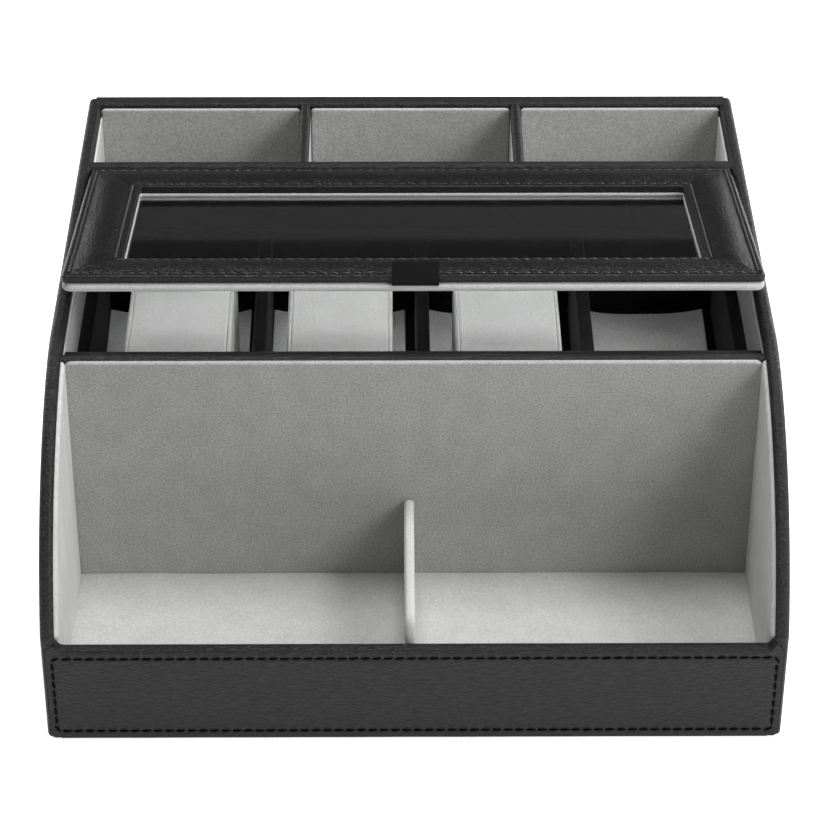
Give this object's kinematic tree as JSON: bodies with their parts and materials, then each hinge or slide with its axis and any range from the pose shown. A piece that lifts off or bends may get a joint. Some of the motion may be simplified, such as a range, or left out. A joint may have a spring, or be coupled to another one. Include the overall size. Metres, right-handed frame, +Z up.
{
  "type": "charging valet",
  "caption": "Leather-wrapped charging valet with an open front bay, a watch tray with pillows under a hinged glazed lid, and a row of device bays with cord holes at the back.",
  "frame": {"origin": "under the middle of the case, on the surface that it stands on", "axes": "+Z up, +Y towards the back, +X to the right seen from the front"},
  "size_m": [0.318, 0.322, 0.1768],
  "materials": {
    "leather_black": "fine pebbled, satin",
    "suede_grey": "short nap, matt",
    "velvet_black": "short pile, matt",
    "board_bare": "fibreboard, hidden under the coverings",
    "felt_black": "pressed felt",
    "glass_clear": "polished",
    "ribbon_black": "woven ribbon",
    "grommet_black": "moulded, matt",
    "pin_steel": "drawn",
    "bush_brass": "turned"
  },
  "bodies": {
    "case": {"base_board": "board_bare", "base_felt": "felt_black", "left_side_board": "board_bare", "right_side_board": "board_bare", "left_side_leather": "leather_black", "right_side_leather": "leather_black", "left_side_lining": "suede_grey", "right_side_lining": "suede_grey", "front_board": "board_bare", "front_leather": "leather_black", "front_lining": "suede_grey", "back_board": "board_bare", "back_leather": "leather_black", "bay_wall_board": "board_bare", "bay_wall_edging": "leather_black", "bay_wall_lining": "suede_grey", "bay_wall_facing": "velvet_black", "bay_floor_pad": "suede_grey", "bay_divider": "suede_grey", "lid_rest": "velvet_black", "hinge_wall_board": "board_bare", "hinge_wall_edging": "leather_black", "hinge_wall_facing": "velvet_black", "rear_divider_left": "suede_grey", "rear_divider_right": "suede_grey", "rear_divider_caps": "leather_black", "rear_bay_back_linings": "suede_grey", "rear_bay_front_linings": "suede_grey", "rear_bay_floor_pads": "suede_grey", "cord_grommets": "grommet_black", "tray_base": "velvet_black", "tray_front_wall": "velvet_black", "tray_rear_wall": "velvet_black", "tray_left_wall": "velvet_black", "tray_right_wall": "velvet_black", "tray_divider_left": "velvet_black", "tray_divider_mid": "velvet_black", "tray_divider_right": "velvet_black", "tray_floor_pads": "suede_grey", "tray_supports": "board_bare", "watch_pillow_left": "suede_grey", "watch_pillow_mid": "suede_grey", "watch_pillow_right": "suede_grey", "hinge_pins": "pin_steel"},
    "lid": {"lid_board": "board_bare", "lid_leather": "leather_black", "lid_lining": "suede_grey", "lid_glass": "glass_clear", "lid_pull_tab": "ribbon_black", "lid_hinge_rail": "pin_steel", "hinge_bushes": "bush_brass"}
  },
  "joints": [
    {"name": "lid_hinge", "type": "hinge", "parent": "case", "child": "lid", "pos_m": [0, 0.0868, 0.1357], "axis": [-1, 0, 0], "range_deg": [-11.7, 78.3]}
  ]
}
